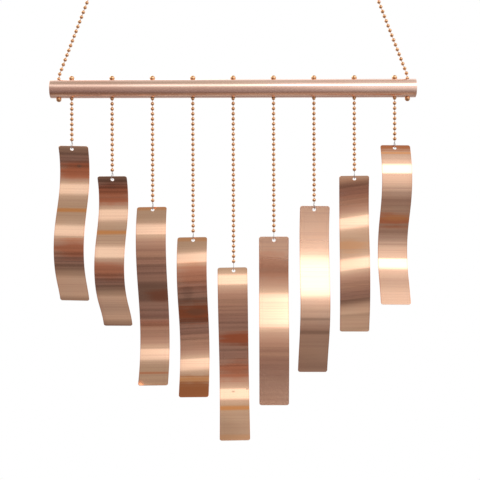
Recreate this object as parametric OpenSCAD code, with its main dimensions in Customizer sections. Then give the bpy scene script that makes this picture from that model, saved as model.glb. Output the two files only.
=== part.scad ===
// Copper wind chime: nine bent copper strips on ball chains under a copper tube.
// Millimetres, +Z up, the front faces -Y. The origin lies midway between the two hanging eyes.

/* [Bar] */
// Length of the tube that the chimes hang from
bar_len = 312; // [306:1:400]
// Outside diameter of the tube
bar_d = 15.9; // [15:0.1:18]
// Wall of the tube
bar_wall = 1; // [0.6:0.1:2]
// Chamfer on the rims of the tube
bar_rim = 0.3; // [0.1:0.1:0.5]
// Diameter of the holes drilled up through the tube
drill_d = 4.2; // [4:0.1:4.4]

/* [Ball chain] */
// Diameter of a chain bead
bead_d = 3.2; // [3:0.1:3.4]
// Wall of the hollow beads
bead_wall = 0.25; // [0.2:0.05:0.3]
// Distance from bead to bead
bead_pitch = 4.35; // [4.2:0.05:4.6]
// Diameter of the wire links between the beads
link_d = 0.6; // [0.4:0.05:0.65]
// Diameter of the heads that keep a link in its beads
head_d = 1.28; // [1.2:0.02:1.34]
// Diameter of the mouths of a bead
mouth_d = 1.14; // [1:0.02:1.16]
// Diameter of the stop balls that rest on the tube
stop_d = 4.6; // [4.5:0.1:5.2]
// Clearance of seats and of heads in their beads
seat_gap = 0.04; // [0.02:0.01:0.06]

/* [Hanger] */
// Distance between the holes of the two hanger chains
hanger_span = 298; // [290:1:302]
// Lean of the hanger chains towards the middle
hanger_lean = 21; // [0:0.1:30]
// Beads of a hanger chain above the tube
leg_beads = 18; // [6:1:60]
// Outside diameter of a hanging eye
eye_d = 10; // [9:0.5:16]
// Bore of a hanging eye
eye_bore = 5; // [3:0.5:6]
// Thickness of a hanging eye
eye_t = 1.6; // [1:0.1:3]
// Wall of the cup under a hanging eye
cup_wall = 0.5; // [0.4:0.1:0.8]
// Running clearance of the end bead in its cup
cup_gap = 0.15; // [0.1:0.05:0.3]
// Depth of a cup below the middle of its bead
cup_lip = 1; // [0.6:0.1:1.2]

/* [Chimes] */
// Distance from chime to chime along the tube
chime_pitch = 34.5; // [32:0.5:36]
// Beads that hang below the tube on the two end chimes
end_beads = 8; // [3:1:12]
// Beads that each chain gains towards the middle
step_beads = 6; // [0:1:8]
// Radius of a strip's wire loop, to the middle of the wire
loop_r = 2.9; // [2.8:0.05:4]
// Diameter of a loop's wire
loop_d = 0.7; // [0.5:0.05:0.8]
// Clearance between a loop and the bead above it
loop_gap = 0.1; // [0.05:0.05:1]

/* [Strips] */
// Width of a strip
strip_w = 25.4; // [20:0.1:28]
// Thickness of the copper sheet
strip_t = 0.5; // [0.4:0.05:0.6]
// Radius of a strip's corners
corner_r = 2; // [0.5:0.1:4]
// Diameter of the hole in a strip
hole_d = 3; // [2.8:0.1:4]
// Distance from a strip's top edge to the middle of its hole
hole_inset = 3.2; // [2.9:0.1:3.3]
// Steepest lean at which a strip's hole still clears its loop
lean_limit = 44; // [42:1:46]
// Clearance between a loop's wire and a strip at that lean
rim_clear = 0.1; // [0.05:0.01:0.15]
// Flat length of each strip, left to right
strip_len = [153, 151, 166, 148, 160, 149, 149, 153, 150]; // each [120:1:200]
// Length of one full wave along each strip
wave_len = [149, 147, 200, 144, 179, 120, 144, 154, 127]; // each [120:1:200]
// Steepest bend of each strip from its own straight line
bend_angle = [40, 41, 39, 33, 36, 19, 21, 39, 34]; // each [0:1:44]
// Distance below each strip's top edge at which it bends most steeply
bend_at = [60, 53, 77, 67, 61, 66, 52, 63, 66]; // each [40:1:90]
// Way round that each strip hangs: 1 has its middle run forwards going down, -1 backwards
hung_side = [1, 1, -1, -1, -1, 1, 1, 1, -1]; // each 1 or -1
// Distance of each hole to the right of its strip's middle line
hole_shift = [-1.4, 0, 0.8, 0.8, 1, 0, -0.6, 0.2, -0.6]; // each [-2:0.1:2]
// Turn of each strip about its chain, at rest
rest_turn = [-1, -4, -1, -2, 0, -1, 2, -5, 0]; // each [-10:1:10]

/* [Hidden] */
$fn = 40;
copper = [0.76, 0.46, 0.33];
bright_copper = [0.85, 0.55, 0.4];
steel = [0.68, 0.68, 0.68];
over = 1;
wave_steps = 48;
chimes = len(strip_len);
middle = (chimes - 1) / 2;

bar_r = bar_d / 2;
cavity_d = bead_d - 2 * bead_wall;
head_offset = cavity_d / 2 - head_d / 2 - seat_gap;
link_span = bead_pitch - 2 * head_offset;

// A stop ball rests in the rim of its drilled hole.
stop_z = bar_r + sqrt(pow(stop_d / 2, 2) - pow(drill_d / 2, 2)) + seat_gap;
// Beads of a chain that lie in the tube, the one in the mouth of the far hole included.
bar_beads = ceil((stop_z + bar_r) / bead_pitch);
pivot_z = stop_z - bar_beads * bead_pitch;

// A hanger chain runs up from its stop ball under the bar, then leans in by two equal turns.
foot_z = -pivot_z;
turn_lean = hanger_lean / 2;
leg_len = (leg_beads - 1) * bead_pitch;
eye_reach = bead_d / 2 + cup_gap + eye_d / 2;
eye_z = foot_z + bead_pitch * cos(turn_lean) + (leg_len + eye_reach) * cos(hanger_lean);
bar_z = -eye_z;

// A loop hangs by its head in the last bead, and a strip's hole hangs on the loop's lowest point.
loop_drop = bead_d / 2 + loop_gap + loop_d / 2 + 2 * loop_r;
// At its steepest lean the strip's face cuts a chord across the free inside of the loop.
loop_inside = loop_r - loop_d / 2 - rim_clear;
chord_off = loop_r * sin(lean_limit) + strip_t / 2;
rim_reach = loop_r * cos(lean_limit) - sqrt(pow(loop_inside, 2) - pow(chord_off, 2));
loop_seat = hole_d / 2 - rim_reach;
hang_inset = hole_inset - loop_seat;

function chime_x(i) = (i - middle) * chime_pitch;
function beads(i) = end_beads + step_beads * (middle - abs(i - middle));
function bead_z(k) = bar_z + pivot_z - k * bead_pitch;
function last_z(i) = bead_z(beads(i));
function hang_point(i) = [chime_x(i), 0, last_z(i) - loop_drop];
function side_sign(side) = side == "left" ? -1 : 1;

// A strip's own profile, [forward and back, up and down], from its top edge down.
function bend(i, s) = hung_side[i] * bend_angle[i] * cos(360 * (s - bend_at[i]) / wave_len[i]);
function step_len(i) = strip_len[i] / wave_steps;
function fall(i, k) =
    let (a = bend(i, (k + 0.5) * step_len(i)))
    step_len(i) * [-sin(a), -cos(a)];
function course(i) = [for (k = 0, p = [0, 0]; k <= wave_steps; p = p + fall(i, k), k = k + 1) p];
function square_out(a) = [-cos(a), sin(a)];
function on_course(c, i, s) =
    let (k = floor(s / step_len(i)))
    c[k] + (s / step_len(i) - k) * (c[k + 1] - c[k]);
function total(list, n) = n < 0 ? [0, 0] : list[n] + total(list, n - 1);
function mean_point(c) = total(c, len(c) - 1) / len(c);
function sheet_outline(c, i) = concat(
    [for (k = [0:wave_steps]) c[k] + strip_t / 2 * square_out(bend(i, k * step_len(i)))],
    [for (k = [wave_steps:-1:0]) c[k] - strip_t / 2 * square_out(bend(i, k * step_len(i)))]);

// A hollow ball with a mouth below, and one above as well where it is a chain bead.
module ball(d, mouths = 2) {
    difference() {
        sphere(d = d);
        sphere(d = cavity_d);
        translate([0, 0, -d])
            cylinder(d = mouth_d, h = mouths * d);
    }
}

// A wire with a head at each end, drawn up from the bead that its lower end lies in.
module link() {
    translate([0, 0, head_offset]) {
        cylinder(d = link_d, h = link_span);
        sphere(d = head_d);
        translate([0, 0, link_span])
            sphere(d = head_d);
    }
}

module at_hanger(side) {
    translate([side_sign(side) * hanger_span / 2, 0, bar_z])
        children();
}

module lean(side, angle) {
    rotate([0, -side_sign(side) * angle, 0])
        children();
}

module at_foot() {
    translate([0, 0, foot_z])
        children();
}

// The first turn is at the foot bead in the bar's upper mouth, the second at the leg's first bead.
module at_leg_bead(side, k) {
    at_foot()
        lean(side, turn_lean)
            translate([0, 0, bead_pitch])
                lean(side, turn_lean)
                    translate([0, 0, (k - 1) * bead_pitch])
                        children();
}

// The bead at each turn lies halfway between its two links.
module hanger_beads(side) {
    color(bright_copper)
        at_hanger(side) {
            for (k = [1:bar_beads - 1])
                translate([0, 0, -stop_z + k * bead_pitch])
                    ball(bead_d);
            at_foot()
                lean(side, turn_lean / 2)
                    ball(bead_d);
            at_leg_bead(side, 1)
                lean(side, -turn_lean / 2)
                    ball(bead_d);
            for (k = [2:leg_beads])
                at_leg_bead(side, k)
                    ball(bead_d);
        }
}

module hanger_links(side) {
    color(copper)
        at_hanger(side) {
            for (k = [0:bar_beads - 1])
                translate([0, 0, -stop_z + k * bead_pitch])
                    link();
            at_foot()
                lean(side, turn_lean)
                    link();
            for (k = [1:leg_beads - 1])
                at_leg_bead(side, k)
                    link();
        }
}

// A flat eye on a cup that holds the end bead of a hanger chain.
module hanger_eye(side) {
    cup_d = bead_d + 2 * cup_gap + 2 * cup_wall;
    color(bright_copper)
        at_hanger(side)
            at_leg_bead(side, leg_beads)
                difference() {
                    union() {
                        sphere(d = cup_d);
                        translate([0, 0, eye_reach])
                            rotate([90, 0, 0])
                                cylinder(d = eye_d, h = eye_t, center = true);
                    }
                    sphere(d = bead_d + 2 * cup_gap);
                    translate([0, 0, -cup_lip - cup_d])
                        cylinder(d = 2 * cup_d, h = cup_d);
                    translate([0, 0, eye_reach])
                        rotate([90, 0, 0])
                            cylinder(d = eye_bore, h = eye_t + over, center = true);
                }
}

module bar() {
    half = bar_len / 2;
    bore_r = bar_r - bar_wall;
    color(copper)
        translate([0, 0, bar_z])
            difference() {
                rotate([0, 90, 0])
                    rotate_extrude()
                        polygon([
                            [bore_r, -half], [bar_r - bar_rim, -half], [bar_r, -half + bar_rim],
                            [bar_r, half - bar_rim], [bar_r - bar_rim, half], [bore_r, half]]);
                for (i = [0:chimes - 1])
                    translate([chime_x(i), 0, 0])
                        cylinder(d = drill_d, h = bar_d + over, center = true);
                for (side = [-1, 1])
                    translate([side * hanger_span / 2, 0, 0])
                        cylinder(d = drill_d, h = bar_d + over, center = true);
            }
}

// The chimes' stop balls lie on top of the bar, the hangers' under it.
module stop_balls() {
    color(bright_copper) {
        for (i = [0:chimes - 1])
            translate([chime_x(i), 0, bar_z + stop_z])
                ball(stop_d, 1);
        for (side = ["left", "right"])
            at_hanger(side)
                translate([0, 0, -stop_z])
                    rotate([180, 0, 0])
                        ball(stop_d, 1);
    }
}

module bar_beads_group() {
    color(bright_copper)
        for (i = [0:chimes - 1], k = [0:bar_beads - 1])
            translate([chime_x(i), 0, bead_z(-k)])
                ball(bead_d);
}

module bar_links_group() {
    color(copper)
        for (i = [0:chimes - 1], k = [0:bar_beads - 1])
            translate([chime_x(i), 0, bead_z(-k)])
                link();
}

// The link from the bead in the bar's lower mouth to the first bead that hangs free.
module pivot_link(i) {
    color(copper)
        translate([chime_x(i), 0, bead_z(1)])
            link();
}

module chain_beads(i) {
    color(bright_copper)
        for (k = [1:beads(i)])
            translate([chime_x(i), 0, bead_z(k)])
                ball(bead_d);
}

module chain_links(i) {
    color(copper)
        for (k = [2:beads(i)])
            translate([chime_x(i), 0, bead_z(k)])
                link();
}

// A wire ring on a stem, whose head turns in the last bead of the chain.
module loop(i) {
    stem = loop_drop - 2 * loop_r - head_offset;
    color(steel)
        translate(hang_point(i))
            rotate([0, 0, rest_turn[i]]) {
                translate([0, 0, loop_r])
                    rotate([0, 90, 0])
                        rotate_extrude()
                            translate([loop_r, 0])
                                circle(d = loop_d);
                translate([0, 0, 2 * loop_r])
                    cylinder(d = link_d, h = stem);
                translate([0, 0, 2 * loop_r + stem])
                    sphere(d = head_d);
            }
}

// What rounds a corner off: a square block less a round of the corner's radius, to the upper right.
module corner_cut() {
    rotate([90, 0, 0])
        linear_extrude(strip_t + 2 * over, center = true)
            difference() {
                square(corner_r + over);
                circle(r = corner_r);
            }
}

// A sheet bent to its wave, with round corners and a hole, in its own frame.
module bent_sheet(i, c) {
    difference() {
        rotate([90, 0, 90])
            linear_extrude(strip_w, center = true)
                polygon(sheet_outline(c, i));
        for (end = [0, 1], side = [-1, 1]) {
            s = end == 0 ? corner_r : strip_len[i] - corner_r;
            p = on_course(c, i, s);
            translate([side * (strip_w / 2 - corner_r), p[0], p[1]])
                rotate([-bend(i, s), end == 0 ? (side > 0 ? 0 : -90) : (side > 0 ? 90 : 180), 0])
                    corner_cut();
        }
        hole = on_course(c, i, hole_inset);
        translate([hole_shift[i], hole[0], hole[1]])
            rotate([90 - bend(i, hole_inset), 0, 0])
                cylinder(d = hole_d, h = strip_t + 2 * over, center = true);
    }
}

// A strip hangs so that its balance point lies straight below its loop.
module strip(i) {
    c = course(i);
    hang = on_course(c, i, hang_inset);
    mass = mean_point(c) - hang;
    tilt = atan(mass[0] / mass[1]);
    roll = -atan(hole_shift[i] / norm(mass));
    color(copper)
        translate(hang_point(i))
            rotate([0, 0, rest_turn[i]])
                rotate([0, roll, 0])
                    rotate([tilt, 0, 0])
                        translate([-hole_shift[i], -hang[0], -hang[1]])
                            bent_sheet(i, c);
}

hanger_eye("left");  // hanger_eye_left
hanger_eye("right");  // hanger_eye_right
hanger_beads("left");  // hanger_beads_left
hanger_beads("right");  // hanger_beads_right
hanger_links("left");  // hanger_links_left
hanger_links("right");  // hanger_links_right
bar();
stop_balls();
bar_beads_group();
bar_links_group();
for (i = [0:chimes - 1]) {
    pivot_link(i);
    chain_beads(i);
    chain_links(i);
    loop(i);
    strip(i);
}
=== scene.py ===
# Copper wind chime: nine bent copper strips on ball chains under a copper tube.
# Metres, +Z up, the front faces -Y, the origin midway between the two hanging eyes.
import math

import bmesh
import bpy
import numpy as np
from mathutils import Matrix, Vector


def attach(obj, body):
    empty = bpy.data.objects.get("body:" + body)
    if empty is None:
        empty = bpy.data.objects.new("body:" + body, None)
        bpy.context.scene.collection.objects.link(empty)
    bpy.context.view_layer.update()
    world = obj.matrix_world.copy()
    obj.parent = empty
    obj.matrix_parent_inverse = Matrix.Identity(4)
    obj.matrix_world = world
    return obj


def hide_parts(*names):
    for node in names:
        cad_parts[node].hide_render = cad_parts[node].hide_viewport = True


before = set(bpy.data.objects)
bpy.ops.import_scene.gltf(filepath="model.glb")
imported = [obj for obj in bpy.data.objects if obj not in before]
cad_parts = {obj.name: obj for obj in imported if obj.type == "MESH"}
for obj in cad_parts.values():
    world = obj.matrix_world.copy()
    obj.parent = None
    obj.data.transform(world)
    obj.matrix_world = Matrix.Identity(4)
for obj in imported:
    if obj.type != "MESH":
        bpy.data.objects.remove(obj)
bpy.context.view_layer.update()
mm = 0.001
bpy.ops.object.select_all(action="DESELECT")
print("frame loaded,", len(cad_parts), "nodes")


# small helpers
def alone(obj):
    bpy.ops.object.select_all(action="DESELECT")
    obj.select_set(True)
    bpy.context.view_layer.objects.active = obj


def edit(obj):
    alone(obj)
    bpy.ops.object.mode_set(mode="EDIT")


def done():
    bpy.ops.object.mode_set(mode="OBJECT")


# selects verts, edges or faces of the mesh in edit mode, by a test on each
def pick(kind, test):
    bpy.ops.mesh.select_mode(type={"verts": "VERT", "edges": "EDGE", "faces": "FACE"}[kind])
    bpy.ops.mesh.select_all(action="DESELECT")
    mesh = bmesh.from_edit_mesh(bpy.context.object.data)
    for part in getattr(mesh, kind):
        if test(part):
            part.select_set(True)
    bmesh.update_edit_mesh(bpy.context.object.data)


# pulls the picked faces out by each rise, and spreads them by each size
def drawOut(way, steps):
    for rise, size in steps:
        bpy.ops.mesh.extrude_region_move(TRANSFORM_OT_translate={"value": (0, 0, way * rise)})
        bpy.ops.transform.resize(value=(size, size, 1), center_override=(0, 0, 0))


def placed():
    bpy.ops.object.transform_apply(location=True, rotation=True, scale=True)
    return bpy.context.object


def applied(obj, name, kind, **settings):
    alone(obj)
    modifier = obj.modifiers.new(name, kind)
    for key, value in settings.items():
        setattr(modifier, key, value)
    bpy.ops.object.modifier_apply(modifier=name)


def cutAway(obj, cutter, name):
    applied(obj, name, "BOOLEAN", object=cutter, operation="DIFFERENCE", solver="EXACT")
    bpy.data.objects.remove(cutter)


def copyOf(obj, name):
    twin = obj.copy()
    twin.data = obj.data.copy()
    twin.name = twin.data.name = name
    bpy.context.scene.collection.objects.link(twin)
    return twin


def joined(parts, name):
    alone(parts[0])
    for part in parts:
        part.select_set(True)
    bpy.ops.object.join()
    parts[0].name = parts[0].data.name = name
    return parts[0]


# puts a finished piece on its body, in the place of its CAD node
def fit(obj, material, body, node, smoothAngle=40):
    alone(obj)
    bpy.ops.object.shade_smooth_by_angle(angle=math.radians(smoothAngle))
    obj.data.materials.clear()
    obj.data.materials.append(material)
    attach(obj, body)
    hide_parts(node)


# shader maths: a socket that adds Math nodes as it is used in an expression
class Val:
    def __init__(self, tree, socket=None):
        self.tree = tree
        self.socket = socket

    def node(self, kind, settings, sockets, out=0):
        made = self.tree.nodes.new(kind)
        for key, value in settings.items():
            if key == "stops":
                ramp = made.color_ramp.elements
                ramp.remove(ramp[1])
                ramp[0].position, ramp[0].color = value[0][0], (*value[0][1], 1)
                for place, colour in value[1:]:
                    ramp.new(place).color = (*colour, 1)
            else:
                setattr(made, key, value)
        for key, value in sockets.items():
            if isinstance(value, Val):
                self.tree.links.new(value.socket, made.inputs[key])
            else:
                made.inputs[key].default_value = value
        return Val(self.tree, made.outputs[out])

    # another output of the same node
    def out(self, key):
        return Val(self.tree, self.socket.node.outputs[key])

    def calc(self, operation, a, b=0.0):
        return self.node("ShaderNodeMath", {"operation": operation}, {0: a, 1: b})

    def __add__(self, other):
        return self.calc("ADD", self, other)

    def __radd__(self, other):
        return self.calc("ADD", other, self)

    def __sub__(self, other):
        return self.calc("SUBTRACT", self, other)

    def __rsub__(self, other):
        return self.calc("SUBTRACT", other, self)

    def __mul__(self, other):
        return self.calc("MULTIPLY", self, other)

    def __truediv__(self, other):
        return self.calc("DIVIDE", self, other)

    def between(self, low, high):
        return self.node("ShaderNodeMapRange", {"interpolation_type": "SMOOTHSTEP"},
                         {"Value": self, "From Min": low, "From Max": high})

    # from colour a at 0 to colour b at 1
    def mix(self, a, b):
        a, b = [(*c, 1) if isinstance(c, tuple) else c for c in (a, b)]
        return self.node("ShaderNodeMix", {"data_type": "RGBA"}, {0: self, 6: a, 7: b}, 2)

    def stretched(self, x, y, z):
        return self.node("ShaderNodeMapping", {}, {"Vector": self, "Scale": (x, y, z)})

    def noise(self, scale, detail, seed):
        return self.node("ShaderNodeTexNoise", {"noise_dimensions": "4D"},
                         {"Vector": self, "W": seed, "Scale": scale, "Detail": detail, "Roughness": 0.5})

    def bump(self, depth):
        return self.node("ShaderNodeBump", {}, {"Strength": 1.0, "Distance": depth, "Height": self})


def newMaterial(name):
    material = bpy.data.materials.new(name)
    material.use_nodes = True
    return material, Val(material.node_tree), material.node_tree.nodes["Principled BSDF"]


def wire(shader, **links):
    names = {"colour": "Base Color", "rough": "Roughness", "metal": "Metallic", "normal": "Normal"}
    for key, value in links.items():
        shader.id_data.links.new(value.socket, shader.inputs[names[key]])


# the Texture Coordinate node's Object output
def objectPlace(tree):
    return tree.node("ShaderNodeTexCoord", {}, {}, 3)


# camera: level but for a trace of roll, on the strips' middle, a little right of the bar's middle
view = {"place": (0.00556, -0.855, -0.2176), "roll": math.radians(0.147), "lens": 75, "sensor": 36}
bpy.ops.object.camera_add(location=view["place"], rotation=(math.pi / 2, view["roll"], 0))
camera = bpy.context.object
camera.data.lens = view["lens"]
camera.data.sensor_width = view["sensor"]
bpy.context.scene.camera = camera
print("camera set")


# copper sheet: lines across from rolling and bending, fine lines along the edges, clouds, and marks that
# are mostly painted reflections and painted shade
sheetFinishAndPaintedLight = {
    "copper": (0.92, 0.565, 0.385), "pink": (0.91, 0.575, 0.40), "tarnish": (0.72, 0.40, 0.29),
    # brown: darker along the long edges, and painted reflection in the wide bands at the up-turned ends of
    # strips 4 and 9
    # dark: painted shade in the wide bands across a strip, real spots in the small dots
    # the rust-red colour is a painted reflection, laid as marks where the wave turns a face downward
    "rust": (0.82, 0.27, 0.125), "brown": (0.60, 0.21, 0.09), "dark": (0.46, 0.28, 0.19),
    # orange: painted reflection along the crests where the wave turns a face furthest up
    "orange": (1.0, 0.43, 0.17),
    "coarse": (3, 1, 270), "middling": (6, 1, 760), "fine": (20, 1, 1900),
    "edgeLines": (900, 1, 3), "clouds": (45, 1, 60), "lineDepth": 0.01 * mm,
    "coarseShare": 0.26, "middlingShare": 0.36, "rimShare": 0.5, "edgeShare": 0.3,
    "nearEdge": (6 * mm, 12.5 * mm), "rim": (11.6 * mm, 12.7 * mm), "markEdge": (0.3, 1.1),
    "topHaze": 0.45, "lowHaze": 0.2, "lowHazeLength": 24 * mm,
}


# marks are kind, across, down, half width, half length in mm, and strength; the red, brown and orange ones
# are painted reflections and the wide dark ones painted shade, set at the tilt of the face beneath them;
# the small dark dots are real spots
def copperSheet(i, strip):
    f = sheetFinishAndPaintedLight
    material, tree, shader = newMaterial(f"copperSheet{i + 1}")
    flat = tree.node("ShaderNodeAttribute", {"attribute_name": "flat"}, {}, 1)
    across = flat.node("ShaderNodeSeparateXYZ", {}, {0: flat})
    down = 0 - across.out(2)
    offMiddle = across.calc("ABSOLUTE", across)
    seed = i * 3.7
    coarse = flat.stretched(*f["coarse"]).noise(1.0, 2.0, seed)
    middling = flat.stretched(*f["middling"]).noise(1.0, 2.0, seed + 1)
    fine = flat.stretched(*f["fine"]).noise(1.0, 1.0, seed + 2)
    edgeLines = flat.stretched(*f["edgeLines"]).noise(1.0, 1.0, seed + 3)
    clouds = flat.stretched(*f["clouds"]).noise(1.0, 3.0, seed + 4)
    nearEdge = offMiddle.between(*f["nearEdge"])
    colour = clouds.between(0.36, 0.66).mix(f["copper"], f["pink"])
    colour = (coarse.between(0.50, 0.68) * f["coarseShare"]).mix(colour, f["tarnish"])
    colour = (middling.between(0.50, 0.66) * f["middlingShare"]).mix(colour, f["tarnish"])
    colour = (offMiddle.between(*f["rim"]) * f["rimShare"]).mix(colour, f["brown"])
    colour = (edgeLines.between(0.52, 0.66) * nearEdge * f["edgeShare"]).mix(colour, f["tarnish"])
    ragged = (clouds - 0.5) * 1.0 + (coarse - 0.5) * 1.7 + (middling - 0.5) * 0.9
    # the marks paint reflections and shade into the colour, each where the wave tilts its face
    for kind, u, s, halfWide, halfLong, strength in strip["marks"]:
        x = (across - u * mm) / (halfWide * mm)
        z = (down - s * mm) / (halfLong * mm)
        far = x.calc("SQRT", x * x + z * z) + ragged * min(1, halfLong / 8)
        colour = ((1 - far.between(*f["markEdge"])) * strength).mix(colour, f[kind])
    rough = strip["rough"] + (clouds - 0.5) * 0.06 + (middling - 0.5) * 0.05
    shader.inputs["Metallic"].default_value = 1
    if "haze" in strip:
        top, low = [s * mm for s in strip["haze"]]
        haze = (1 - down.between(0.4 * top, top)) * f["topHaze"]
        haze = haze + down.between(low, low + f["lowHazeLength"]) * f["lowHaze"]
        rough = rough + haze * 0.5
        wire(shader, metal=1 - haze)
    height = coarse + middling * 0.3 + fine * 0.05 + edgeLines * nearEdge * 0.12
    wire(shader, colour=colour, rough=rough, normal=height.bump(f["lineDepth"]))
    return material


# bar: a drilled copper tube, its axis at z
bar = {"length": 312 * mm, "d": 15.9 * mm, "wall": 1 * mm, "rim": 0.3 * mm, "drill": 4.2 * mm,
       "z": -88.089 * mm, "sides": 96, "cuts": 62, "drillSides": 28, "drillReach": 1.2}
chimeX = [(i - 4) * 34.5 * mm for i in range(9)]
hangerX = [-149 * mm, 149 * mm]
# drawn copper, with a painted orange reflection band along the underside
tubeLook = {
    "bright": (1.0, 0.69, 0.56), "dull": (0.97, 0.63, 0.50), "drawnLine": (0.66, 0.38, 0.27),
    "orange": (0.84, 0.43, 0.26), "orangeFrom": (3.2 * mm, 5 * mm), "orangeTo": (5.5 * mm, 7 * mm),
    "orangeShare": 0.8, "orangeWander": 2 * mm, "drawnShare": 0.06, "drawnDepth": 0.0002 * mm,
    "rough": 0.17, "metal": 0.94,
}


def copperTube():
    t = tubeLook
    material, tree, shader = newMaterial("copperTube")
    place = objectPlace(tree)
    drawn = place.stretched(3, 500, 500).noise(1.0, 2.0, 5.0)
    clouds = place.stretched(14, 70, 70).noise(1.0, 3.0, 8.0)
    colour = clouds.between(0.38, 0.66).mix(t["bright"], t["dull"])
    colour = (drawn.between(0.5, 0.8) * t["drawnShare"]).mix(colour, t["drawnLine"])
    z = place.node("ShaderNodeSeparateXYZ", {}, {0: place}, 2)
    # painted reflection: an orange band at a fixed depth below the tube's axis, along its underside
    below = bar["z"] - z + (clouds - 0.5) * t["orangeWander"]
    reflectedBand = below.between(*t["orangeFrom"]) * (1 - below.between(*t["orangeTo"]))
    colour = (reflectedBand * t["orangeShare"]).mix(colour, t["orange"])
    rough = t["rough"] + (clouds - 0.5) * 0.06 + (drawn - 0.5) * 0.02
    shader.inputs["Metallic"].default_value = t["metal"]
    wire(shader, colour=colour, rough=rough, normal=drawn.bump(t["drawnDepth"]))
    return material


# beads and wires: colours, size of the patches and of the surface grain, and roughness
smallLooks = {
    "brightCopper": {"light": (0.80, 0.46, 0.25), "dark": (0.64, 0.33, 0.16), "patches": (420, 2.0, 1.0),
                     "grain": (2600, 2.0, 2.0), "rough": 0.18, "roughSpread": 0.1},
    "copperWire": {"light": (0.80, 0.50, 0.33), "dark": (0.66, 0.37, 0.22), "patches": (420, 2.0, 1.0),
                   "grain": (2600, 2.0, 2.0), "rough": 0.18, "roughSpread": 0.1},
    "steelWire": {"light": (0.72, 0.72, 0.72), "dark": (0.52, 0.51, 0.50), "patches": (900, 3.0, 4.0),
                  "grain": (900, 3.0, 4.0), "rough": 0.28, "roughSpread": 0.2},
}
grainDepth = 0.003 * mm


def smallMetal(name):
    look = smallLooks[name]
    material, tree, shader = newMaterial(name)
    place = objectPlace(tree)
    patches = place.noise(*look["patches"])
    grain = place.noise(*look["grain"])
    colour = patches.between(0.35, 0.7).mix(look["light"], look["dark"])
    rough = look["rough"] + (patches - 0.5) * look["roughSpread"]
    shader.inputs["Metallic"].default_value = 1
    wire(shader, colour=colour, rough=rough, normal=grain.bump(grainDepth))
    return material


tubeFinishAndReflection = copperTube()
ballFinish = smallMetal("brightCopper")
wireFinish = smallMetal("copperWire")
steelFinish = smallMetal("steelWire")
print("finishes mixed")


def makeBar():
    b = bar
    bpy.ops.mesh.primitive_cylinder_add(vertices=b["sides"], radius=b["d"] / 2, depth=b["length"],
                                        location=(0, 0, b["z"]), rotation=(0, math.pi / 2, 0))
    tube = placed()
    half = b["length"] / 2
    edit(tube)
    pick("edges", lambda e: abs(e.verts[0].co.x - e.verts[1].co.x) > half)
    bpy.ops.mesh.subdivide(number_cuts=b["cuts"])
    pick("faces", lambda f: abs(f.normal.x) > 0.9)
    bpy.ops.mesh.inset(thickness=b["wall"])
    bpy.ops.mesh.bridge_edge_loops()

    def onRim(v):
        reach = math.hypot(v.co.y, v.co.z - b["z"])
        return abs(abs(v.co.x) - half) < 1e-6 and abs(reach - b["d"] / 2) < 1e-6

    pick("edges", lambda e: all(onRim(v) for v in e.verts))
    bpy.ops.mesh.bevel(offset=b["rim"], segments=3, affect="EDGES")
    done()
    drills = []
    for x in chimeX + hangerX:
        bpy.ops.mesh.primitive_cylinder_add(vertices=b["drillSides"], radius=b["drill"] / 2,
                                            depth=b["d"] * b["drillReach"], location=(x, 0, b["z"]))
        drills.append(placed())
    cutAway(tube, joined(drills, "drill"), "drilled")
    tube.name = "copperBar"
    fit(tube, tubeFinishAndReflection, "bar", "bar", 30)


makeBar()
print("bar drilled")


# ball chain: hollow balls with a socket at each mouth, and wire links with heads
chain = {"bead": 3.2 * mm, "stop": 4.6 * mm, "mouth": 1.14 * mm, "pitch": 4.35 * mm, "seatGap": 0.04 * mm,
         "wire": 0.6 * mm, "head": 1.24 * mm, "headOffset": 0.67 * mm, "socket": 0.85 * mm,
         "socketEnd": 0.02 * mm, "sides": 10, "rings": 8, "stopSides": 16, "stopRings": 10, "wireSides": 8,
         "beadsInBar": 4, "beadsDown": [8 + 6 * (4 - abs(i - 4)) for i in range(9)]}
# from the bar's axis up to a stop ball in the rim of its hole, and down to the bead in the other rim
stopRise = bar["d"] / 2 + math.sqrt(chain["stop"] ** 2 - bar["drill"] ** 2) / 2 + chain["seatGap"]
pivotDrop = chain["beadsInBar"] * chain["pitch"] - stopRise


# a ball whose poles are opened and sunk into sockets
def makeBall(name, d, mouths, sides, rings):
    c = chain
    bpy.ops.mesh.primitive_uv_sphere_add(segments=sides, ring_count=rings, radius=d / 2)
    ball = bpy.context.object
    ball.name = name
    mouthR = c["mouth"] / 2
    mouthZ = math.sqrt((d / 2) ** 2 - mouthR ** 2)
    ringZ = d / 2 * math.cos(math.pi / rings)
    ringR = d / 2 * math.sin(math.pi / rings)
    edit(ball)
    for way in mouths:
        pick("verts", lambda v: v.co.z * way > ringZ + 1e-6)
        bpy.ops.mesh.delete(type="VERT")
        pick("verts", lambda v: v.co.z * way > ringZ - 1e-6)
        bpy.ops.transform.resize(value=(mouthR / ringR, mouthR / ringR, mouthZ / ringZ),
                                 center_override=(0, 0, 0))
        pick("edges", lambda e: all(v.co.z * way > mouthZ - 1e-6 for v in e.verts))
        bpy.ops.mesh.extrude_region_move(
            TRANSFORM_OT_translate={"value": (0, 0, way * (c["socketEnd"] - mouthZ))})
        bpy.ops.transform.resize(value=(c["socket"] / mouthR, c["socket"] / mouthR, 1),
                                 center_override=(0, 0, way * c["socketEnd"]))
        bpy.ops.mesh.edge_face_add()
    bpy.ops.mesh.select_all(action="SELECT")
    bpy.ops.mesh.normals_make_consistent(inside=False)
    done()
    return ball


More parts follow.
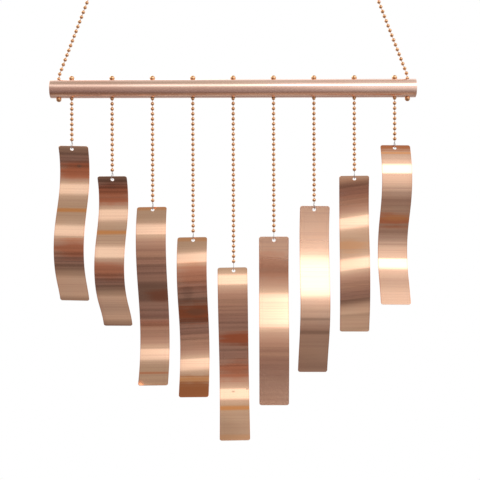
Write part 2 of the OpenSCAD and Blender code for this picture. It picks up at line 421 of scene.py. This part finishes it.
# a wire with a head at each end, drawn up from the bead that its lower end lies in
def makeLink():
    c = chain
    span = c["pitch"] - 2 * c["headOffset"]
    wireR, headR = c["wire"] / 2, c["head"] / 2
    bpy.ops.mesh.primitive_cylinder_add(vertices=c["wireSides"], radius=wireR, depth=span - headR * 1.7,
                                        location=(0, 0, c["pitch"] / 2))
    link = placed()
    link.name = "link"
    edit(link)
    for way in (1, -1):
        pick("faces", lambda f: f.normal.z * way > 0.9)
        drawOut(way, ((0.55 * headR, headR / wireR), (0.6 * headR, 1.0), (0.5 * headR, 0.45)))
    done()
    return link


def rowOf(master, name, count, first, step, turn=0.0):
    row = copyOf(master, name)
    if count > 1:
        applied(row, "row", "ARRAY", count=count, use_relative_offset=False, use_constant_offset=True,
                constant_offset_displace=step)
    row.data.transform(Matrix.Translation(first) @ Matrix.Rotation(turn, 4, "Y"))
    return row


def makeChains():
    c = chain
    down = Vector((0, 0, -c["pitch"]))
    up = -down
    footZ = bar["z"] - pivotDrop
    stops, barBeads, barLinks = [], [], []
    for i, x in enumerate(chimeX):
        stops.append(rowOf(stop, "stop", 1, (x, 0, bar["z"] + stopRise), up))
        barBeads.append(rowOf(bead, "barBead", c["beadsInBar"], (x, 0, footZ), up))
        barLinks.append(rowOf(link, "barLink", c["beadsInBar"], (x, 0, footZ), up))
        n = c["beadsDown"][i]
        first = Vector((x, 0, footZ)) + down
        beads = rowOf(bead, f"chainBeads{i + 1}", n, first, down)
        links = rowOf(link, f"chainLinks{i + 1}", n - 1, first + down, down)
        pivot = rowOf(link, f"pivotLink{i + 1}", 1, first, down)
        fit(beads, ballFinish, f"chain_{i + 1}", f"chain_beads_{i + 1}")
        fit(links, wireFinish, f"chain_{i + 1}", f"chain_links_{i + 1}")
        fit(pivot, wireFinish, f"pivot_{i + 1}", f"pivot_link_{i + 1}")
    for x in hangerX:
        stops.append(rowOf(stop, "stop", 1, (x, 0, bar["z"] - stopRise), up, math.pi))
    fit(joined(stops, "stopBalls"), ballFinish, "bar", "stop_balls")
    fit(joined(barBeads, "barBeads"), ballFinish, "bar", "bar_beads_group")
    fit(joined(barLinks, "barLinks"), wireFinish, "bar", "bar_links_group")


bead = makeBall("bead", chain["bead"], (1, -1), chain["sides"], chain["rings"])
stop = makeBall("stop", chain["stop"], (-1,), chain["stopSides"], chain["stopRings"])
link = makeLink()
makeChains()
print("chime chains hung")


# hanger: two chains that rise through the bar and lean in
hanger = {"lean": math.radians(21), "beads": 18}


def makeHanger(side, x):
    c = chain
    lean = hanger["lean"] if x < 0 else -hanger["lean"]
    up = Vector((0, 0, c["pitch"]))
    low = Vector((x, 0, bar["z"] - stopRise))
    foot = low + up * c["beadsInBar"]
    knee = foot + Matrix.Rotation(lean / 2, 3, "Y") @ up
    rise = Matrix.Rotation(lean, 3, "Y") @ up
    beads = [rowOf(bead, "hangerBead", c["beadsInBar"] - 1, low + up, up),
             rowOf(bead, "hangerBead", 1, foot, up, lean / 4),
             rowOf(bead, "hangerBead", 1, knee, up, lean * 3 / 4),
             rowOf(bead, "hangerBead", hanger["beads"] - 1, knee + rise, up, lean)]
    links = [rowOf(link, "hangerLink", c["beadsInBar"], low, up),
             rowOf(link, "hangerLink", 1, foot, up, lean / 2),
             rowOf(link, "hangerLink", hanger["beads"] - 1, knee, up, lean)]
    fit(joined(beads, f"hangerBeads{side.capitalize()}"), ballFinish, "bar",
        f"hanger_beads_{side}")
    fit(joined(links, f"hangerLinks{side.capitalize()}"), wireFinish, "bar",
        f"hanger_links_{side}")
    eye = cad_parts[f"hanger_eye_{side}"]
    eye.data.materials.clear()
    eye.data.materials.append(ballFinish)


for side, x in zip(("left", "right"), hangerX):
    makeHanger(side, x)
for master in (bead, stop, link):
    bpy.data.objects.remove(master)
print("hanger chains hung")


# strips: cut flat, drilled, then bent to a wave and hung by the hole, loopDrop below the last bead
strips = {
    "width": 25.4 * mm, "thick": 0.5 * mm, "cornerR": 2 * mm, "holeD": 3 * mm, "holeSides": 28,
    "holeInset": 3.2 * mm, "hangInset": 2.85094 * mm, "edge": 0.12 * mm, "rowHeight": 2.5 * mm,
    "loopDrop": 7.85 * mm, "courseSteps": 480, "balanceSteps": 48,
}
# in mm and degrees; turn is about the chain, askew the slant of the bands, haze how far down from the top
# it is dull and from where on again, uneven the places along it that bend as others of an even wave do
# in the marks, the red, brown and orange bands are painted reflections and the wide dark bands painted
# shade; the small dark dots are real spots
stripList = [
    {"length": 153, "wave": 149, "bend": 40, "bendAt": 60, "side": 1, "holeShift": -1.4, "turn": -1,
     "rough": 0.12, "marks": [
         ("rust", 3, 23, 30, 11, 0.85), ("rust", 5, 96, 24, 10, 0.7), ("dark", 4, 19, 3, 2, 0.7),
         ("orange", 0, 60, 70, 2.6, 1.0)]},
    {"length": 151, "wave": 147, "bend": 41, "bendAt": 53, "side": 1, "holeShift": 0, "turn": -4,
     "rough": 0.12, "marks": [
         ("rust", 0, 15, 40, 13, 0.8), ("rust", 0, 86, 40, 11, 0.6), ("dark", 0, 2, 40, 9, 0.6),
         ("orange", 0, 51.5, 70, 2.8, 1.0)]},
    {"length": 166, "wave": 200, "bend": 39, "bendAt": 77, "side": -1, "holeShift": 0.8, "turn": -1,
     "rough": 0.095, "marks": [
         ("orange", 0, 0, 50, 5, 0.7), ("rust", 6, 82, 16, 7, 0.6), ("rust", 0, 108, 40, 4, 0.4),
         ("rust", -3, 153, 40, 1.6, 0.7)]},
    {"length": 148, "wave": 144, "bend": 33, "bendAt": 67, "side": -1, "holeShift": 0.8, "turn": -2,
     "askew": 0.05, "rough": 0.095, "marks": [
         ("rust", 3, 36, 30, 15, 0.45), ("dark", -4, 50.5, 6, 11, 0.4), ("rust", 0, 70, 50, 14, 1.0),
         ("dark", 2, 69, 12, 5, 0.45), ("brown", 0, 144, 80, 16, 1.0), ("orange", 0, 131, 70, 3, 0.8),
         ("orange", 0, 2, 70, 3, 0.6)]},
    {"length": 160, "wave": 179, "bend": 36, "bendAt": 61, "side": -1, "holeShift": 1, "turn": 0,
     "rough": 0.095, "marks": [
         ("rust", 4, 64, 26, 7, 1.0), ("rust", -1, 93, 20, 9, 0.7), ("dark", -1, 112, 2, 1, 0.8),
         ("dark", 11, 110, 1.5, 1, 0.8), ("orange", 0, 127, 70, 2.8, 0.95),
         ("orange", 0, 157, 60, 4, 0.4)]},
    {"length": 149, "wave": 120, "bend": 19, "bendAt": 66, "side": 1, "holeShift": 0, "turn": -1,
     "haze": (30, 110), "rough": 0.13, "marks": [("rust", 0, 26, 30, 13, 0.3)]},
    {"length": 149, "wave": 144, "bend": 21, "bendAt": 52, "side": 1, "holeShift": -0.6, "turn": 2,
     "haze": (44, 149), "uneven": ((0, 38.5, 80, 86, 149), (0, 36.5, 61, 82, 149)),
     "rough": 0.15, "marks": [
         ("dark", 0, 144, 60, 14, 0.3), ("dark", 0, 98, 60, 1.5, 0.45), ("dark", 2, 110, 60, 2.4, 0.55)]},
    {"length": 153, "wave": 154, "bend": 39, "bendAt": 63, "side": 1, "holeShift": 0.2, "turn": -5,
     "askew": 0.14, "rough": 0.12, "marks": [
         ("rust", 0, 12, 40, 14, 0.3), ("orange", -5, 65, 24, 7, 0.45)]},
    {"length": 150, "wave": 127, "bend": 34, "bendAt": 66, "side": -1, "holeShift": -0.6, "turn": 0,
     "uneven": ((0, 139, 150), (0, 139, 139)), "rough": 0.12, "marks": [
         ("rust", 0, 70, 40, 10, 0.9), ("orange", 2, 68, 18, 4, 0.6), ("brown", 0, 0, 90, 8, 1.0),
         ("orange", 0, 8.5, 70, 1.6, 0.8)]},
]


# where the loop's wire and the strip's hole meet
def hangPoint(i):
    drop = pivotDrop + chain["beadsDown"][i] * chain["pitch"] + strips["loopDrop"]
    return Vector((chimeX[i], 0, bar["z"] - drop))


def bendAngle(strip, s):
    bent = min(s / mm, strip["length"])
    if "uneven" in strip:
        bent = float(np.interp(bent, *strip["uneven"]))
    turn = 2 * math.pi * (bent - strip["bendAt"]) / strip["wave"]
    return strip["side"] * math.radians(strip["bend"]) * math.cos(turn)


# points down the strip's middle line, forward and back against up and down
def courseOf(strip, steps):
    step = strip["length"] * mm / steps
    points = [Vector((0, 0))]
    for k in range(steps):
        a = bendAngle(strip, (k + 0.5) * step)
        points.append(points[-1] - step * Vector((math.sin(a), math.cos(a))))
    return points


def onCourse(strip, points, s):
    k = s / (strip["length"] * mm) * (len(points) - 1)
    whole = min(max(int(k), 0), len(points) - 2)
    return points[whole] + (points[whole + 1] - points[whole]) * (k - whole)


def flatSheet(strip, name):
    s = strips
    length = strip["length"] * mm
    bpy.ops.mesh.primitive_cube_add(size=1, location=(0, 0, -length / 2))
    sheet = bpy.context.object
    sheet.scale = (s["width"], s["thick"], length)
    sheet = placed()
    sheet.name = sheet.data.name = name
    edit(sheet)
    pick("edges", lambda e: abs(e.verts[0].co.z - e.verts[1].co.z) > length / 2)
    bpy.ops.mesh.subdivide(number_cuts=int(length / s["rowHeight"]) - 1)
    pick("edges", lambda e: abs(e.verts[0].co.y - e.verts[1].co.y) > s["thick"] / 2 and
         (e.verts[0].co.z > -1e-6 or e.verts[0].co.z < 1e-6 - length))
    bpy.ops.mesh.bevel(offset=s["cornerR"], segments=8, affect="EDGES")
    done()
    bpy.ops.mesh.primitive_cylinder_add(
        vertices=s["holeSides"], radius=s["holeD"] / 2, depth=4 * s["thick"],
        location=(strip["holeShift"] * mm, 0, -s["holeInset"]), rotation=(math.pi / 2, 0, 0))
    cutAway(sheet, placed(), "hole")
    edit(sheet)
    bpy.ops.mesh.select_mode(type="EDGE")
    bpy.ops.mesh.select_all(action="DESELECT")
    bpy.ops.mesh.edges_select_sharp(sharpness=math.radians(60))
    bpy.ops.mesh.bevel(offset=s["edge"], segments=2, affect="EDGES")
    done()
    return sheet


# a strip hangs so that the balance point of its even wave lies straight below its loop
def hungPlace(i, strip, points):
    hang = onCourse(strip, points, strips["hangInset"])
    even = {key: value for key, value in strip.items() if key != "uneven"}
    few = courseOf(even, strips["balanceSteps"])
    mean = sum(few, Vector((0, 0))) / len(few) - hang
    tilt = math.atan(mean.x / mean.y)
    roll = -math.atan(strip["holeShift"] * mm / mean.length)
    return (Matrix.Translation(hangPoint(i))
            @ Matrix.Rotation(math.radians(strip["turn"]), 4, "Z")
            @ Matrix.Rotation(roll, 4, "Y") @ Matrix.Rotation(tilt, 4, "X")
            @ Matrix.Translation((-strip["holeShift"] * mm, -hang.x, -hang.y)))


# the two faces take their normals from the wave itself, its lines a little askew on some
def setNormals(sheet, strip, place, sides):
    normals = [Vector(n.vector) for n in sheet.data.corner_normals]
    flat = sheet.data.attributes["flat"]
    for f, side in zip(sheet.data.polygons, sides):
        if side == 0:
            continue
        for corner in f.loop_indices:
            spot = flat.data[sheet.data.loops[corner].vertex_index].vector
            a = bendAngle(strip, strip.get("askew", 0) * spot.x - spot.z)
            out = Vector((0, -math.cos(a), math.sin(a))) * (1 if side < 0 else -1)
            normals[corner] = place.to_3x3() @ out
    sheet.data.normals_split_custom_set(normals)


def makeStrip(i, strip):
    sheet = flatSheet(strip, f"copperStrip{i + 1}")
    points = courseOf(strip, strips["courseSteps"])
    place = hungPlace(i, strip, points)
    flat = sheet.data.attributes.new("flat", "FLOAT_VECTOR", "POINT")
    sides = [f.normal.y if abs(f.normal.y) > 0.95 else 0 for f in sheet.data.polygons]
    for v in sheet.data.vertices:
        flat.data[v.index].vector = v.co
        a = bendAngle(strip, -v.co.z)
        p = onCourse(strip, points, -v.co.z) - v.co.y * Vector((-math.cos(a), math.sin(a)))
        v.co = place @ Vector((v.co.x, p.x, p.y))
    sheet.data.update()
    fit(sheet, copperSheet(i, strip), f"strip_{i + 1}", f"strip_{i + 1}", 40)
    setNormals(sheet, strip, place, sides)


for i, strip in enumerate(stripList):
    makeStrip(i, strip)
print("strips bent and hung")


# loops: a steel wire ring on a stem, from the last bead into the strip's hole
loop = {"r": 2.9 * mm, "wire": 0.7 * mm, "stem": 0.6 * mm, "head": 1.24 * mm, "turns": 28, "sides": 8}


def makeLoop(i, strip):
    p = loop
    bpy.ops.mesh.primitive_circle_add(vertices=p["sides"], radius=p["wire"] / 2,
                                      location=(0, p["r"], 0))
    ring = placed()
    ring.name = ring.data.name = f"steelLoop{i + 1}"
    edit(ring)
    bpy.ops.mesh.select_all(action="SELECT")
    bpy.ops.mesh.spin(steps=p["turns"], angle=2 * math.pi, center=(0, 0, 0), axis=(1, 0, 0))
    bpy.ops.mesh.select_all(action="SELECT")
    bpy.ops.mesh.remove_doubles(threshold=1e-7)
    bpy.ops.mesh.normals_make_consistent(inside=False)
    done()
    stemTop = strips["loopDrop"] - p["r"] - chain["headOffset"]
    bpy.ops.mesh.primitive_cylinder_add(
        vertices=p["sides"], radius=p["stem"] / 2, depth=stemTop - p["r"],
        location=(0, 0, (stemTop + p["r"]) / 2))
    stem = placed()
    edit(stem)
    pick("faces", lambda f: f.normal.z > 0.9)
    headR, spread = p["head"] / 2, p["head"] / p["stem"]
    drawOut(1, ((-0.4 * headR, 1), (0.4 * headR, spread), (0.35 * headR, 1), (0.3 * headR, 0.5)))
    done()
    ring = joined([ring, stem], ring.name)
    ring.data.transform(Matrix.Translation(hangPoint(i) + Vector((0, 0, p["r"])))
                        @ Matrix.Rotation(math.radians(strip["turn"]), 4, "Z"))
    fit(ring, steelFinish, f"loop_{i + 1}", f"loop_{i + 1}", 60)


for i, strip in enumerate(stripList):
    makeLoop(i, strip)
print("loops hung")


# studio: pale floor, white surroundings, and a round soft light with a long bright box in it
# heights in degrees; lobes run from -1 on the left to 1 before the right wall
studio = {
    "middle": (0, 0, -0.217), "r": 3.0, "floorZ": -1.35, "floorR": 2.9, "floorGlow": 0.92,
    "floorPale": (0.92, 0.92, 0.92), "floorDull": (0.88, 0.88, 0.88), "rightWall": math.radians(48),
    "wallLobes": (0.0, 0.2), "behind": (0.0, 0.6), "leftLobes": (-0.62, -0.25), "leftDim": 0.2,
    "boxLow": (23, 26), "boxHigh": (43, 51), "boxLeft": (0.98, 1.02, 1.02),
    "boxMiddle": (1.4, 1.4, 1.4), "middleLobes": (-0.52, -0.28),
    "boxRight": (2.7, 2.7, 2.7), "rightLobes": (-0.14, 0.16),
    "bandsLow": (-74, -58), "bandsHigh": (-14, 4), "bandScale": (0.4, 0.4, 11), "bandEdge": (0.43, 0.57),
    "unevenness": 0.43, "wallUnevenness": 0.5,
}
# the light's strength and tint by height in degrees: dim below the middle, pale above
heights = [
    (-90, 0.52, (1, 0.98, 0.92)), (-74, 0.42, (1, 0.92, 0.86)), (-58, 0.31, (1, 0.82, 0.80)),
    (-42, 0.32, (1, 0.79, 0.80)), (-30, 0.40, (1, 0.80, 0.78)), (-20, 0.47, (1, 0.82, 0.77)),
    (0, 0.47, (1, 0.83, 0.79)), (13, 0.58, (1, 0.90, 0.87)), (21, 0.74, (1, 1, 0.96)),
    (52, 0.66, (1, 1, 0.95)), (60, 0.55, (1, 0.98, 0.90)), (90, 0.55, (1, 0.98, 0.90))]
# the same before the paler wall on the right
wallHeights = [
    (-90, 0.62, (1, 0.97, 0.92)), (-66, 0.40, (1, 0.92, 0.88)), (-46, 0.33, (1, 0.86, 0.84)),
    (-27, 0.54, (1, 0.97, 0.98)), (-10, 0.82, (1, 1, 1)), (20, 1.0, (1, 1, 1.02)),
    (52, 1.0, (1, 1, 1.02)), (64, 0.70, (1, 1, 1)), (90, 0.58, (1, 1, 0.97))]


def makeFloor():
    bpy.ops.mesh.primitive_circle_add(vertices=64, radius=studio["floorR"], fill_type="NGON",
                                      location=(0, 0, studio["floorZ"]))
    floor = placed()
    floor.name = "floor"
    material, tree, shader = newMaterial("paleFloor")
    mottle = objectPlace(tree).noise(3.0, 2.0, 1.0)
    wire(shader, colour=mottle.mix(studio["floorDull"], studio["floorPale"]))
    shader.inputs["Roughness"].default_value = 0.9
    seen = tree.node("ShaderNodeLightPath", {}, {}, 0)
    glow = tree.node("ShaderNodeEmission", {}, {"Color": (1, 1, 1, 1), "Strength": 1.0})
    both = tree.node("ShaderNodeMixShader", {}, {0: seen * studio["floorGlow"], 2: glow})
    tree.tree.links.new(shader.outputs[0], both.socket.node.inputs[1])
    tree.tree.links.new(both.socket, tree.tree.nodes["Material Output"].inputs[0])
    floor.data.materials.append(material)
    floor.visible_glossy = False


# a ramp of the levels, from straight down at 0 to straight up at 1
def ramp(height, levels):
    up = height / 180 + 0.5
    stops = [((e + 90) / 180, [strength * c for c in tint]) for e, strength, tint in levels]
    return up.node("ShaderNodeValToRGB", {"stops": stops}, {0: up})


def softLight():
    s = studio
    material = bpy.data.materials.new("softLight")
    material.use_nodes = True
    tree = Val(material.node_tree)
    material.node_tree.nodes.remove(material.node_tree.nodes["Principled BSDF"])
    place = objectPlace(tree)
    x = place.node("ShaderNodeSeparateXYZ", {}, {0: place})
    y, z = x.out(1), x.out(2)
    height = z.calc("ARCTAN2", z, x.calc("SQRT", x * x + y * y)) * (180 / math.pi)
    azimuth = x.calc("ARCTAN2", x, 0 - y)
    lobes = azimuth.calc("COSINE", (azimuth - s["rightWall"]) * 2)
    # uneven bands in the dim part, and less light on the left
    bands = place.stretched(*s["bandScale"]).noise(1.0, 2.0, 3.0).between(*s["bandEdge"])
    dimPart = height.between(*s["bandsLow"]) * (1 - height.between(*s["bandsHigh"]))
    bands = bands * dimPart * s["unevenness"]
    left = (1 - lobes.between(*s["leftLobes"])) * s["leftDim"]
    shade = 1 - (1 - left) * (1 - bands)
    dim = shade.mix(ramp(height, heights), (0, 0, 0))
    pale = (bands * s["wallUnevenness"]).mix(ramp(height, wallHeights), (0, 0, 0))
    wall = lobes.calc("MAXIMUM", lobes.between(*s["wallLobes"]), y.between(*s["behind"]))
    room = wall.mix(dim, pale)
    # the bright box, stronger to the right
    lamp = lobes.between(*s["middleLobes"]).mix(s["boxLeft"], s["boxMiddle"])
    lamp = lobes.between(*s["rightLobes"]).mix(lamp, s["boxRight"])
    box = height.between(*s["boxLow"]) * (1 - height.between(*s["boxHigh"]))
    glow = tree.node("ShaderNodeEmission", {}, {"Color": box.mix(room, lamp), "Strength": 1.0})
    tree.tree.links.new(glow.socket, tree.tree.nodes["Material Output"].inputs[0])
    return material


def makeSurround():
    bpy.ops.mesh.primitive_uv_sphere_add(segments=48, ring_count=24, radius=studio["r"],
                                         location=studio["middle"])
    tent = bpy.context.object
    tent.name = "softLight"
    tent.visible_camera = False
    tent.data.materials.append(softLight())


# white to the camera, to metal and to glass, and half as strong as a light
def makeWorld():
    world = bpy.data.worlds.new("white")
    world.use_nodes = True
    tree = Val(world.node_tree)
    rays = tree.node("ShaderNodeLightPath", {}, {}, "Is Camera Ray")
    seen = rays + rays.out("Is Glossy Ray") + rays.out("Is Transmission Ray")
    back = world.node_tree.nodes["Background"]
    back.inputs["Color"].default_value = (1, 1, 1, 1)
    strength = seen.calc("MINIMUM", seen * 0.5 + 0.5, 1.0)
    world.node_tree.links.new(strength.socket, back.inputs["Strength"])
    bpy.context.scene.world = world


makeFloor()
makeSurround()
makeWorld()
bpy.context.scene.view_settings.view_transform = "Standard"
print("studio lit")

bpy.context.view_layer.update()
